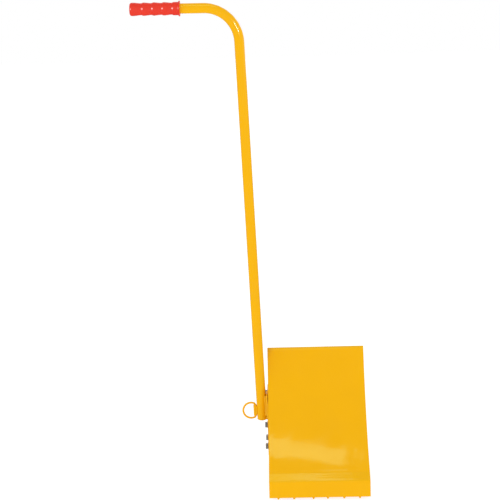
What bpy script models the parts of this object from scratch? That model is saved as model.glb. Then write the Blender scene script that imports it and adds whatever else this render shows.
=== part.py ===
"""Steel wheel chock for trucks and trailers, with an upright carrying handle.

One bent plate forms the tyre face and the toe flange.  Two side plates, a
centre rib and a heel plate stand under it, with six blunt-pointed pins behind
the toe flange.  A 1 inch tube handle stands on a standoff block against a
bracket plate, which five bolts fix to the left side plate.  The tube ends in a
vinyl hand grip, and a D-ring swings in a small sleeve beside the tube's foot.

Axes: +X to the right as seen from the tyre, +Y from toe to heel, +Z up.
Origin: on the ground under the middle of the heel plate.  Dimensions are in
millimetres; those along Y are measured from the toe flange's front, and
TOE_Y takes them to the scene.
"""
import bpy
import bmesh
from math import sin, cos, tan, pi, radians, atan2, sqrt, inf
from mathutils import Vector

MM = 0.001
INCH = 25.4
GAP = 0.3                      # clearance left between pieces that touch

X_AXIS = Vector((1, 0, 0))
Y_AXIS = Vector((0, 1, 0))
Z_AXIS = Vector((0, 0, 1))

# ---- bent face plate -----------------------------------------------------
WIDTH = 10 * INCH              # side to side
PLATE_T = 6.0                  # thickness of the face, side and heel plates
EDGE_Z = 7.2                   # toe flange's lower edge above the ground
FLANGE_H = 41.5                # toe flange, to the bend's sharp corner
FLANGE_ANGLE = 89.0            # degrees from horizontal, like the slopes below
BEND_R = 7.0                   # outer radius of the toe bend
STRIP_LEN = 24.0               # flat strip above the toe bend
STRIP_ANGLE = 39.5
CREASE_R = 40.0                # soft crease between strip and tyre face
FACE_ANGLE_LOW = 33.5          # slope of the tyre face at the crease
FACE_ANGLE_TOP = 67.35         # slope of the tyre face at its top edge
FACE_R = 600.63                # concave radius of the tyre face
BEND_STEPS, CREASE_STEPS, FACE_STEPS = 7, 2, 21

# ---- side plates, rib and heel plate -------------------------------------
BASE_LEN = 305.0               # toe to heel
TOE_Y = -(BASE_LEN - PLATE_T / 2)
HEEL_H = 112.0                 # heel plate height
SIDE_OUT = 124.5               # outer surface of the side plates
SIDE_TOP_DROP = 9.0            # side plates stop at least this far below the top
SIDE_HEEL_Z = HEEL_H + 18.0    # top of the side plates' heel edge
WEB_TOP_LEN = 14.0             # level top edge of the side plates and the rib
RIB_T = 6.0
RIB_TOP_LIMIT = 262.0          # the rib stays below this height
RIB_HEEL_Z = HEEL_H - 6.0      # top of the rib's heel edge

# ---- toe pins ------------------------------------------------------------
PIN_X = (-104.5, -64.8, -16.0, 20.0, 61.0, 100.5)
PIN_R = 3.2
PIN_LEN = 30.0
PIN_POINT = 3.4                # length of the tapered point
PIN_TIP_R = 1.5
PIN_CHAMFER = 0.8              # at the upper end
PIN_CLEARANCE = 0.4            # added to GAP behind the toe flange

# ---- handle --------------------------------------------------------------
TUBE_R = INCH / 2
TUBE_BORE = 10.7               # inner radius
TUBE_Y = 210.0                 # tube axis behind the toe
TUBE_X = -144.6                # tube axis at TUBE_REF_Z
TUBE_REF_Z = 154.0
LEAN = radians(1.778)          # riser's top leans away from the chock
TUBE_FOOT_Z = 151.2
LEG_RISE = radians(0.62)       # upper leg rises outwards
LEG_X, LEG_Z = -271.0, 1224.3  # a point on the leg's axis
LEG_END_X = -444.8
HANDLE_BEND_R = 3.5 * INCH
HANDLE_BEND_STEPS = 16
TUBE_WORLD_Y = TUBE_Y + TOE_Y

RISER_DIR = Vector((-sin(LEAN), 0.0, cos(LEAN)))
LEG_DIR = Vector((-cos(LEG_RISE), 0.0, sin(LEG_RISE)))
RISER_INWARD = Y_AXIS.cross(RISER_DIR)   # square to the riser, towards the chock

PLUG_DOME_H = 5.0              # domed plug below the tube's end
PLUG_DOME = (                  # height above the dome's crown, radius
    (0.0, 1.5), (0.25, 4.5), (0.9, 7.5), (2.0, 10.0), (3.4, 11.6))
PLUG_RIM_R = TUBE_R - 0.4
PLUG_SPIGOT = 6.0              # its spigot inside the bore

# ---- hand grip -----------------------------------------------------------
GRIP_END_X = -448.7
GRIP_LEN = 5 * INCH
GRIP_R = 16.5                  # over the crests
GRIP_VALLEY_R = 14.8
GRIP_VALLEYS = 4
GRIP_PITCH = 25.5              # finger wave, valley to valley
GRIP_VALLEY = 29.5             # first valley from the outer end
GRIP_RISE = 5.5                # short rise from a valley to the next crest
GRIP_TIP = (                   # distance from the outer end, inset from GRIP_R
    (0.0, 5.0), (1.0, 2.2), (2.6, 0.7), (4.4, 0.15))
GRIP_END_T = 3.4               # wall over the tube's end
GRIP_FLANGE_R = 19.6
GRIP_FLANGE_T = 3.2
GRIP_FLANGE_CHAMFER = 0.8
GRIP_FLARE_LEN = 1.5           # the body widens towards the flange over this length
GRIP_FLARE_START = 0.4         # radius added to GRIP_R where the flare begins

# ---- bracket: Y from the toe, Z from the ground --------------------------
BRACKET_T = 4.76               # 3/16 in
BRACKET_LOW, BRACKET_TOP = 65.2, 229.2
BRACKET_FRONT, BRACKET_BACK = 160.0, 264.0
BRACKET_SHOULDER_Z, BRACKET_SHOULDER_Y = 167.2, 206.0
BRACKET_IN_X = -SIDE_OUT - GAP
BRACKET_OUT_X = BRACKET_IN_X - BRACKET_T
STANDOFF_HALF_WIDTH = 24.0
STANDOFF_LOW, STANDOFF_TOP = 158.2, 217.2

# ---- 3/8 in fasteners ----------------------------------------------------
BOLT_YZ = ((175.0, 86.2), (175.0, 144.2), (247.0, 86.2), (247.0, 144.2),
           (247.0, 210.2))
BOLT_R = 4.76
BOLT_TAIL = 3.0                # thread past the nut
BOLT_CHAMFER = 0.8
HOLE_R = 5.3                   # in the plates and the washers
DRILL_OVERRUN = 2.0            # drill beyond each surface of a plate
HEX_FLAT_R = 14.3 / 2          # half the width across flats
HEX_CHAMFER_R = HEX_FLAT_R + 0.1   # corners are cut back to this radius
HEX_BEVEL = 0.9                # length of the bevel at a head's or nut's end
HEAD_H = 5.4
HEAD_CUT = 0.35                # bevel's middle loop, from the head's end
HEAD_END_R = HEX_FLAT_R - 0.9
NUT_H = 8.2
NUT_CUT = 0.3                  # bevel's middle loop, from the nut's end
NUT_END_R = HEX_FLAT_R - 0.7
WASHER_R = 9.0
WASHER_T = 1.0

# Faces across the bolts, from the head's bearing face to the bolt's end
OUTER_WASHER_X = BRACKET_OUT_X - GAP - WASHER_T
HEAD_BEARING_X = OUTER_WASHER_X - GAP
INNER_WASHER_X = -SIDE_OUT + PLATE_T + GAP
NUT_X = INNER_WASHER_X + WASHER_T + GAP
BOLT_END_X = NUT_X + NUT_H + BOLT_TAIL

# ---- D-ring --------------------------------------------------------------
SLEEVE_R = 4.4
SLEEVE_BORE = 2.95             # inner radius
SLEEVE_LEN = 30.0
RING_WIRE_R = 2.6
RING_BOW_R = 20.8              # centreline radius of the bow
RING_BOW_OFFSET = 10.8         # bow centre from the straight bar
RING_CORNER_R = 4.0
RING_Z = 174.1
RING_BAR_STEPS, RING_CORNER_STEPS, RING_BOW_STEPS = 4, 5, 28

# ---- finishes ------------------------------------------------------------
PAINT = dict(colour=(0.905, 0.455, 0.010, 1.0), roughness=0.34, metallic=0.0)
PLATED = dict(colour=(0.52, 0.51, 0.50, 1.0), roughness=0.38, metallic=1.0)
VINYL = dict(colour=(0.80, 0.045, 0.025, 1.0), roughness=0.42, metallic=0.0)


def clear_scene():
    for ob in list(bpy.data.objects):
        bpy.data.objects.remove(ob, do_unlink=True)


def make_material(name, colour, roughness, metallic):
    material = bpy.data.materials.new(name + "_material")
    material.use_nodes = True
    inputs = material.node_tree.nodes["Principled BSDF"].inputs
    inputs["Base Color"].default_value = colour
    inputs["Roughness"].default_value = roughness
    inputs["Metallic"].default_value = metallic
    return material


def add_piece(name, bm, look=PAINT, origin=(0.0, 0.0, 0.0), sharp_angle=None):
    """Turn a bmesh drawn in millimetres into a named object in metres.

    Given a sharp_angle in degrees, faces are smooth up to that angle.
    """
    bmesh.ops.recalc_face_normals(bm, faces=bm.faces)
    bmesh.ops.translate(bm, verts=bm.verts, vec=-Vector(origin))
    bmesh.ops.scale(bm, verts=bm.verts, vec=(MM, MM, MM))
    mesh = bpy.data.meshes.new(name)
    bm.to_mesh(mesh)
    bm.free()
    if sharp_angle:
        mesh.shade_smooth()
        mesh.set_sharp_from_angle(angle=radians(sharp_angle))
    mesh.materials.append(make_material(name, **look))
    ob = bpy.data.objects.new(name, mesh)
    ob.location = Vector(origin) * MM
    bpy.context.scene.collection.objects.link(ob)
    return ob


# --------------------------------------------------------------------------
# Shapes
# --------------------------------------------------------------------------
def prism(section, x_start, x_end):
    """Extrude a closed section drawn in (y from toe, z) along X."""
    bm = bmesh.new()
    face = bm.faces.new([bm.verts.new((x_start, y + TOE_Y, z)) for y, z in section])
    extruded = bmesh.ops.extrude_face_region(bm, geom=[face])["geom"]
    moved = [v for v in extruded if isinstance(v, bmesh.types.BMVert)]
    bmesh.ops.translate(bm, verts=moved, vec=(x_end - x_start, 0, 0))
    return bm


def skin(loops, closed=False):
    """Skin a row of equal vertex loops; capped at the ends unless closed."""
    bm = bmesh.new()
    rows = [[bm.verts.new(point) for point in loop] for loop in loops]
    pairs = list(zip(rows, rows[1:]))
    if closed:
        pairs.append((rows[-1], rows[0]))
    count = len(rows[0])
    for row, following in pairs:
        for i in range(count):
            j = (i + 1) % count
            bm.faces.new((row[i], row[j], following[j], following[i]))
    if not closed:
        bm.faces.new(rows[0][::-1])
        bm.faces.new(rows[-1])
    return bm


def make_loop(centre, start, side, radius, count):
    """Points around centre; radius is a number or a function of the angle."""
    points = []
    for i in range(count):
        angle = 2 * pi * i / count
        r = radius(angle) if callable(radius) else radius
        points.append(centre + start * (r * cos(angle)) + side * (r * sin(angle)))
    return points


def lathe(profile, base, axis, start, count, closed=False):
    """Turn a profile of (distance from base along axis, radius) about the axis."""
    side = axis.cross(start)
    return skin([make_loop(base + axis * along, start, side, radius, count)
                 for along, radius in profile], closed)


def tube_profile(start, end, outer, inner):
    return [(start, outer), (end, outer), (end, inner), (start, inner)]


def lathe_at_bolt(profile, y, z, count, closed=False):
    """Turn a profile of (x, radius) about the axis of the bolt at (y from toe, z)."""
    return lathe(profile, Vector((0, y + TOE_Y, z)), X_AXIS, Y_AXIS, count, closed)


def drill_bolt_holes(ob, x_start, x_end):
    """Cut the bolt holes through a plate lying between two X values."""
    ends = ((x_start - DRILL_OVERRUN, HOLE_R), (x_end + DRILL_OVERRUN, HOLE_R))
    for number, (y, z) in enumerate(BOLT_YZ, 1):
        drill = add_piece("%s_drill_%d" % (ob.name, number),
                          lathe_at_bolt(ends, y, z, count=24))
        drill.hide_render = True
        drill.display_type = 'WIRE'
        hole = ob.modifiers.new("hole_%d" % number, 'BOOLEAN')
        hole.operation = 'DIFFERENCE'
        hole.solver = 'EXACT'
        hole.object = drill


# --------------------------------------------------------------------------
# Chock
# --------------------------------------------------------------------------
def face_path():
    """Points (y from toe, z, slope) up the front of the bent plate."""
    flange, strip = radians(FLANGE_ANGLE), radians(STRIP_ANGLE)
    low, top = radians(FACE_ANGLE_LOW), radians(FACE_ANGLE_TOP)
    points = [(0.0, EDGE_Z, flange)]

    def straight(length):
        y, z, slope = points[-1]
        points.append((y + length * cos(slope), z + length * sin(slope), slope))

    def arc(radius, end_slope, steps):
        """Convex to the front for a positive radius, concave for a negative."""
        y, z, start_slope = points[-1]
        centre_y = y + radius * sin(start_slope)
        centre_z = z - radius * cos(start_slope)
        for i in range(1, steps + 1):
            slope = start_slope + (end_slope - start_slope) * i / steps
            points.append((centre_y - radius * sin(slope),
                           centre_z + radius * cos(slope), slope))

    bend_tangent = BEND_R * tan((flange - strip) / 2)
    crease_tangent = CREASE_R * tan((strip - low) / 2)
    straight(FLANGE_H - bend_tangent)
    arc(BEND_R, strip, BEND_STEPS)
    straight(STRIP_LEN - bend_tangent - crease_tangent)
    arc(CREASE_R, low, CREASE_STEPS)
    arc(-FACE_R, top, FACE_STEPS)
    return points


def behind(path, depth):
    """The (y, z) points of a path moved into the plate by depth."""
    return [(y + depth * sin(slope), z - depth * cos(slope)) for y, z, slope in path]


def web_section(under, limit_z, heel_y, heel_z):
    """Upright web under the bent plate, below limit_z and ending at heel_y."""
    edge = [(y, z) for y, z in under if z < limit_z]
    top_y, top_z = edge[-1]
    return edge + [(top_y + WEB_TOP_LEN, top_z), (heel_y, heel_z), (heel_y, EDGE_Z)]


def build_face_plate(path):
    front = behind(path, 0.0)
    back = behind(path, PLATE_T)
    add_piece("face_plate", prism(front + back[::-1], -WIDTH / 2, WIDTH / 2),
              sharp_angle=25)


def build_side_plates(under):
    section = web_section(under, under[-1][1] - SIDE_TOP_DROP, BASE_LEN, SIDE_HEEL_Z)
    inner = SIDE_OUT - PLATE_T
    left = add_piece("side_plate_left", prism(section, -SIDE_OUT, -inner))
    add_piece("side_plate_right", prism(section, inner, SIDE_OUT))
    drill_bolt_holes(left, -SIDE_OUT, -inner)


def build_centre_rib(under):
    section = web_section(under, RIB_TOP_LIMIT, BASE_LEN - PLATE_T - GAP, RIB_HEEL_Z)
    add_piece("centre_rib", prism(section, -RIB_T / 2, RIB_T / 2))


def build_heel_plate():
    half_width = SIDE_OUT - PLATE_T - GAP
    front = BASE_LEN - PLATE_T
    section = [(front, 0.0), (BASE_LEN, 0.0), (BASE_LEN, HEEL_H), (front, HEEL_H)]
    add_piece("heel_plate", prism(section, -half_width, half_width))


def build_toe_pins():
    """Upright pins behind the toe flange, points on the ground."""
    y = PLATE_T + GAP + PIN_R + PIN_CLEARANCE + TOE_Y
    profile = ((0.0, PIN_TIP_R), (PIN_POINT, PIN_R),
               (PIN_LEN - PIN_CHAMFER, PIN_R), (PIN_LEN, PIN_R - PIN_CHAMFER))
    for number, x in enumerate(PIN_X, 1):
        add_piece("toe_pin_%d" % number,
                  lathe(profile, Vector((x, y, 0.0)), Z_AXIS, X_AXIS, count=16),
                  sharp_angle=30)


def build_chock():
    path = face_path()
    # upper edge of the webs, kept level with the flange's lower edge or above
    under = [(y, max(z, EDGE_Z)) for y, z in behind(path, PLATE_T + GAP)]
    build_face_plate(path)
    build_side_plates(under)
    build_centre_rib(under)
    build_heel_plate()
    build_toe_pins()


# --------------------------------------------------------------------------
# Handle
# --------------------------------------------------------------------------
def riser_x(z):
    """X of the riser's axis at height z."""
    return TUBE_X - tan(LEAN) * (z - TUBE_REF_Z)


def handle_path():
    """Centreline points with tangents: foot, bend, leg end."""
    # corner where the riser and leg axes meet
    lean_slope, leg_slope = tan(LEAN), tan(LEG_RISE)
    corner_z = ((LEG_Z - leg_slope * (riser_x(0.0) - LEG_X))
                / (1 - leg_slope * lean_slope))
    corner = Vector((riser_x(corner_z), TUBE_WORLD_Y, corner_z))
    turn = RISER_DIR.angle(LEG_DIR)
    bend_start = corner - RISER_DIR * (HANDLE_BEND_R * tan(turn / 2))
    centre = bend_start - RISER_INWARD * HANDLE_BEND_R

    points = [(Vector((riser_x(TUBE_FOOT_Z), TUBE_WORLD_Y, TUBE_FOOT_Z)), RISER_DIR)]
    for i in range(HANDLE_BEND_STEPS + 1):
        angle = turn * i / HANDLE_BEND_STEPS
        radial = RISER_INWARD * cos(angle) + RISER_DIR * sin(angle)
        tangent = RISER_DIR * cos(angle) - RISER_INWARD * sin(angle)
        points.append((centre + radial * HANDLE_BEND_R, tangent))
    points.append((along_leg(points[-1][0], LEG_END_X), LEG_DIR))
    return points


def along_leg(point, x):
    """Move a point on the leg's axis along it to the given x."""
    return point + LEG_DIR * ((x - point.x) / LEG_DIR.x)


def build_tube(path):
    outer, bore = [[make_loop(point, Y_AXIS.cross(tangent), Y_AXIS, radius, 32)
                    for point, tangent in path] for radius in (TUBE_R, TUBE_BORE)]
    add_piece("handle_tube", skin(outer + bore[::-1], closed=True), sharp_angle=35)


def build_foot_plug(foot):
    """Domed plug in the tube's lower end."""
    spigot_r = TUBE_BORE - GAP
    profile = [(height - PLUG_DOME_H, radius) for height, radius in PLUG_DOME]
    profile += [(-GAP, PLUG_RIM_R), (-GAP, spigot_r), (PLUG_SPIGOT, spigot_r)]
    add_piece("tube_foot_plug",
              lathe(profile, foot, RISER_DIR, RISER_INWARD, count=28), sharp_angle=35)


def grip_waves():
    """Finger waves: a short rise from each valley, then a long fall to the next."""
    profile = []
    for wave in range(GRIP_VALLEYS + 1):
        valley = GRIP_VALLEY + (wave - 1) * GRIP_PITCH
        crest = valley + GRIP_RISE
        stations = []              # distance from the outer end, part of the rise
        if wave > 0:
            stations += [(valley + f * GRIP_RISE, f) for f in (0.0, 0.5, 1.0)]
        if wave < GRIP_VALLEYS:
            stations += [(crest + f * (GRIP_PITCH - GRIP_RISE), 1.0 - f)
                         for f in (0.1, 0.4, 0.7)]
        for along, part in stations:
            eased = part * part * (3 - 2 * part)
            profile.append((along, GRIP_VALLEY_R + (GRIP_R - GRIP_VALLEY_R) * eased))
    return profile


def build_grip(tube_end):
    """A cup over the tube's end, waisted for the fingers, flanged at its mouth."""
    bore = TUBE_R + GAP
    flange = GRIP_LEN - GRIP_FLANGE_T
    chamfer = GRIP_FLANGE_CHAMFER
    profile = [(along, GRIP_R - inset) for along, inset in GRIP_TIP]
    profile += grip_waves()
    profile += [(flange - GRIP_FLARE_LEN, GRIP_R + GRIP_FLARE_START),
                (flange, GRIP_FLANGE_R - chamfer),
                (flange + chamfer, GRIP_FLANGE_R),
                (GRIP_LEN - chamfer, GRIP_FLANGE_R),
                (GRIP_LEN, GRIP_FLANGE_R - chamfer),
                (GRIP_LEN, bore),
                (GRIP_END_T, bore)]
    bm = lathe(profile, along_leg(tube_end, GRIP_END_X), -LEG_DIR,
               Y_AXIS.cross(LEG_DIR), count=20)
    add_piece("hand_grip", bm, VINYL, sharp_angle=50)


def build_handle():
    path = handle_path()
    build_tube(path)
    build_foot_plug(path[0][0])
    build_grip(path[-1][0])


# --------------------------------------------------------------------------
# Bracket between the side plate and the handle
# --------------------------------------------------------------------------
def build_bracket_plate():
    section = [(BRACKET_FRONT, BRACKET_LOW), (BRACKET_BACK, BRACKET_LOW),
               (BRACKET_BACK, BRACKET_TOP), (BRACKET_SHOULDER_Y, BRACKET_TOP),
               (BRACKET_FRONT, BRACKET_SHOULDER_Z)]
    plate = add_piece("bracket_plate", prism(section, BRACKET_OUT_X, BRACKET_IN_X))
    drill_bolt_holes(plate, BRACKET_OUT_X, BRACKET_IN_X)


def build_standoff():
    """Block between bracket plate and tube, its outer face leaning with the tube."""
    bm = bmesh.new()
    for y in (TUBE_WORLD_Y - STANDOFF_HALF_WIDTH, TUBE_WORLD_Y + STANDOFF_HALF_WIDTH):
        for z in (STANDOFF_LOW, STANDOFF_TOP):
            tube_side_x = riser_x(z) + (TUBE_R + GAP) / cos(LEAN)
            bm.verts.new((tube_side_x, y, z))
            bm.verts.new((BRACKET_OUT_X - GAP, y, z))
    bmesh.ops.convex_hull(bm, input=list(bm.verts))
    # merge the hull's triangles into flat sides
    bmesh.ops.dissolve_limit(bm, angle_limit=radians(0.5), verts=bm.verts,
                             edges=bm.edges)
    add_piece("standoff_block", bm)


def hexagon(limit=inf):
    """Radius of the hexagon by angle, its corners cut back to limit."""
    def radius(angle):
        from_flat = angle % (pi / 3) - pi / 6
        return min(HEX_FLAT_R / cos(from_flat), limit)
    return radius


def build_fasteners():
    """Bolts through bracket and side plate, heads outside, nuts inside."""
    head_end = HEAD_BEARING_X - HEAD_H
    nut_end = NUT_X + NUT_H
    bolt = ((head_end, HEAD_END_R),
            (head_end + HEAD_CUT, hexagon(HEX_CHAMFER_R)),
            (head_end + HEX_BEVEL, hexagon()),
            (HEAD_BEARING_X, hexagon()),
            (HEAD_BEARING_X, BOLT_R),
            (BOLT_END_X - BOLT_CHAMFER, BOLT_R),
            (BOLT_END_X, BOLT_R - BOLT_CHAMFER))
    nut = ((NUT_X, hexagon()),
           (nut_end - HEX_BEVEL, hexagon()),
           (nut_end - NUT_CUT, hexagon(HEX_CHAMFER_R)),
           (nut_end, NUT_END_R),
           (nut_end, BOLT_R + GAP),
           (NUT_X, BOLT_R + GAP))
    for number, (y, z) in enumerate(BOLT_YZ, 1):
        add_piece("bracket_bolt_%d" % number, lathe_at_bolt(bolt, y, z, count=12),
                  PLATED, sharp_angle=30)
        for place, x in (("outer", OUTER_WASHER_X), ("inner", INNER_WASHER_X)):
            washer = tube_profile(x, x + WASHER_T, WASHER_R, HOLE_R)
            add_piece("washer_%s_%d" % (place, number),
                      lathe_at_bolt(washer, y, z, count=20, closed=True),
                      PLATED, sharp_angle=30)
        add_piece("bracket_nut_%d" % number,
                  lathe_at_bolt(nut, y, z, count=12, closed=True),
                  PLATED, sharp_angle=30)


# --------------------------------------------------------------------------
# D-ring and its sleeve, on the outer side of the tube near its foot
# --------------------------------------------------------------------------
def build_sleeve(centre):
    profile = tube_profile(-SLEEVE_LEN / 2, SLEEVE_LEN / 2, SLEEVE_R, SLEEVE_BORE)
    bm = lathe(profile, centre, RISER_DIR, RISER_INWARD, count=24, closed=True)
    add_piece("ring_sleeve", bm, sharp_angle=35)


def ring_path():
    """Centreline points (inward, along the bar, outward normal's angle)."""
    # corner centre as seen from the bow centre
    corner_x = RING_BOW_OFFSET - RING_CORNER_R
    half_bar = sqrt((RING_BOW_R - RING_CORNER_R) ** 2 - corner_x ** 2)
    corner_turn = atan2(half_bar, corner_x)

    def arc(x, z, radius, angles):
        return [(x + radius * cos(a), z + radius * sin(a), a) for a in angles]

    corner_angles = [corner_turn * i / RING_CORNER_STEPS
                     for i in range(1, RING_CORNER_STEPS)]
    bow_angles = [corner_turn + (2 * pi - 2 * corner_turn) * i / RING_BOW_STEPS
                  for i in range(RING_BOW_STEPS + 1)]
    bar = [(0.0, -half_bar + 2 * half_bar * i / RING_BAR_STEPS, 0.0)
           for i in range(RING_BAR_STEPS + 1)]
    return (bar
            + arc(-RING_CORNER_R, half_bar, RING_CORNER_R, corner_angles)
            + arc(-RING_BOW_OFFSET, 0.0, RING_BOW_R, bow_angles)
            + arc(-RING_CORNER_R, -half_bar, RING_CORNER_R,
                  [-a for a in reversed(corner_angles)]))


def build_d_ring(centre):
    """Straight bar in the sleeve, corner, round bow, corner."""
    loops = []
    for x, z, angle in ring_path():
        point = centre + RISER_INWARD * x + RISER_DIR * z
        normal = RISER_INWARD * cos(angle) + RISER_DIR * sin(angle)
        loops.append(make_loop(point, normal, Y_AXIS, RING_WIRE_R, 12))
    add_piece("chain_ring", skin(loops, closed=True), origin=centre, sharp_angle=40)


def build_ring():
    from_tube = (TUBE_R + GAP + SLEEVE_R) / cos(LEAN)
    centre = Vector((riser_x(RING_Z) - from_tube, TUBE_WORLD_Y, RING_Z))
    build_sleeve(centre)
    build_d_ring(centre)


clear_scene()
build_chock()
build_handle()
build_bracket_plate()
build_standoff()
build_fasteners()
build_ring()
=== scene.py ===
"""A yellow wheel chock with a long bent handle: fine meshes, welds, paint, studio and camera.

The chock stands on z = 0. Its toe points to the front (-y) and its heel to the back (+y);
x runs across it, from the handle's side (-x, left) to the right. A pressed face plate
climbs from toe to heel over two side plates, a centre rib and a heel plate. The handle's
tube rises from a block bolted to the left side plate, then bends left to a red grip.
Shapes are in millimetres with y counted from the toe; materials and studio in metres.
"""
import bpy
import bmesh
from math import sin, cos, tan, pi, radians, atan2, sqrt, exp
from mathutils import Vector, Matrix, noise


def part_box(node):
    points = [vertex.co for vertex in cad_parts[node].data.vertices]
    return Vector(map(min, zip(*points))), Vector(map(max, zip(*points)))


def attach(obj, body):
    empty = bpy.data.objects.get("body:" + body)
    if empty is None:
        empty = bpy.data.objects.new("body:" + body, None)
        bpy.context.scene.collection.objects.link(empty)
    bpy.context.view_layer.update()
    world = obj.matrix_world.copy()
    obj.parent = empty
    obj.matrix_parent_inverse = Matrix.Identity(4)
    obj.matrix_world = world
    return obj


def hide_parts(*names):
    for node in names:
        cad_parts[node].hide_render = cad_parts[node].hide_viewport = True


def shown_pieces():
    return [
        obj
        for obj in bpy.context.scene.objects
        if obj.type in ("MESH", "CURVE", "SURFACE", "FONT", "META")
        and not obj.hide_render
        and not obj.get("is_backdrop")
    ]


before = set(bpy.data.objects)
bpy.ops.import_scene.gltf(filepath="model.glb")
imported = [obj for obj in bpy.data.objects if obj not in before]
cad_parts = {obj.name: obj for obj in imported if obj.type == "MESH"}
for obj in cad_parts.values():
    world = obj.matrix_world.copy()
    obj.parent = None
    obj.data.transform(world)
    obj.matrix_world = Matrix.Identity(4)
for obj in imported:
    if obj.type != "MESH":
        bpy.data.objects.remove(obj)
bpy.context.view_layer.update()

METRES_PER_MM = 0.001
X_AXIS = Vector((1, 0, 0))
Y_AXIS = Vector((0, 1, 0))
Z_AXIS = Vector((0, 0, 1))


def middle_x(name):
    low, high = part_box(name)
    return (low.x + high.x) / 2 / METRES_PER_MM


# ---------------------------------------------------------------- dimensions (mm, degrees)
# face plate: toe flange, bend, flat strip, shallow crease, hollow tyre face
WIDTH = 254.0
PLATE_T = 6.0
GAP = 0.3                       # clearance between parts that touch
EDGE_Z = 7.2
FLANGE_H = 41.5
FLANGE_ANGLE = 89.0
BEND_R = 7.0
STRIP_LEN = 24.0
STRIP_ANGLE = 39.5
CREASE_R = 40.0
FACE_ANGLE_LOW = 33.5
FACE_ANGLE_TOP = 67.35
FACE_R = 600.63
EDGE_ROLL = 0.85
TOE_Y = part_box("face_plate")[0].y / METRES_PER_MM

# side, rib and heel plates
SIDE_OUT = 124.5
BASE_LEN = 305.0
HEEL_H = 112.0
HEEL_INNER_Y = BASE_LEN - PLATE_T + TOE_Y
RIB_HALF_T = PLATE_T / 2

# toe pins
PIN_X = [middle_x("toe_pin_%d" % i) for i in range(1, 7)]
PIN_R = 3.2
PIN_LEN = 30.0
PIN_POINT = 3.4                 # length of the tapered point
PIN_TIP_R = 1.5

# handle: a riser leaning left, a bend, and a nearly level leg
TUBE_R = 12.7
TUBE_BORE = 10.7                # radius, like every bore below
TUBE_Y = 210.0 + TOE_Y
TUBE_X = -144.6                 # riser's x at the height TUBE_REF_Z
TUBE_REF_Z = 154.0
TUBE_FOOT_Z = 151.2
LEAN = 1.778
LEG_RISE = 0.62
LEG_X = -271.0                  # a point on the leg's axis
LEG_Z = 1224.3
LEG_END_X = -444.8
HANDLE_BEND_R = 88.9

# grip; distances along it count from its closed tip
GRIP_END_X = -448.7
GRIP_LEN = 127.0
GRIP_R = 16.5
GRIP_VALLEY_R = 14.8
GRIP_PITCH = 25.5
GRIP_VALLEY = 29.5              # place of the first valley
GRIP_RISE = 5.5                 # steep side of each wave
GRIP_FLANGE_R = 19.6
GRIP_FLANGE_T = 3.2
GRIP_LIP_R = 1.5

# bracket, standoff block and fasteners
BRACKET_T = 4.76
BRACKET_X = -SIDE_OUT - GAP - BRACKET_T     # bracket's outer face
STANDOFF_Y = (186.0, 234.0)
STANDOFF_Z = (158.2, 217.2)
BOLTS = (                       # y, z, turn of the hexagon in radians
    (175.0, 86.2, 0.22), (175.0, 144.2, 0.83), (247.0, 86.2, 0.02),
    (247.0, 144.2, 0.48), (247.0, 210.2, 0.64))
NUT_TURN = 0.37                 # each nut's turn past its bolt head
BOLT_R = 4.76
BOLT_TAIL = 3.0                 # thread standing past the nut
THREAD_LEN = 13.2
THREAD_PITCH = 1.5875
THREAD_DEPTH = 0.78
HOLE_R = 5.3
HEX_FLAT = 14.3 / 2             # centre to flat
HEX_CORNER = HEX_FLAT / cos(pi / 6) - 0.28      # centre to rounded corner
HEAD_H = 5.4
NUT_H = 8.2
WASHER_R = 9.0
WASHER_T = 1.0
WASHER_ROLL = 0.28

# chain ring and the sleeve that carries it
SLEEVE_R = 4.4
SLEEVE_BORE = 2.95
SLEEVE_LEN = 30.0
RING_WIRE_R = 2.6
RING_BOW_R = 20.8
RING_BOW_OFFSET = 10.8
RING_CORNER_R = 4.0
RING_Z = 174.1


# ---------------------------------------------------------------- small maths
def noise_at(x, y, z):
    return noise.noise(Vector((x, y, z)))


def bell(offset, width):
    return exp(-(offset / width) ** 2)


def smooth_step(value, low, high):
    share = min(1.0, max(0.0, (value - low) / (high - low)))
    return share * share * (3 - 2 * share)


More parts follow.
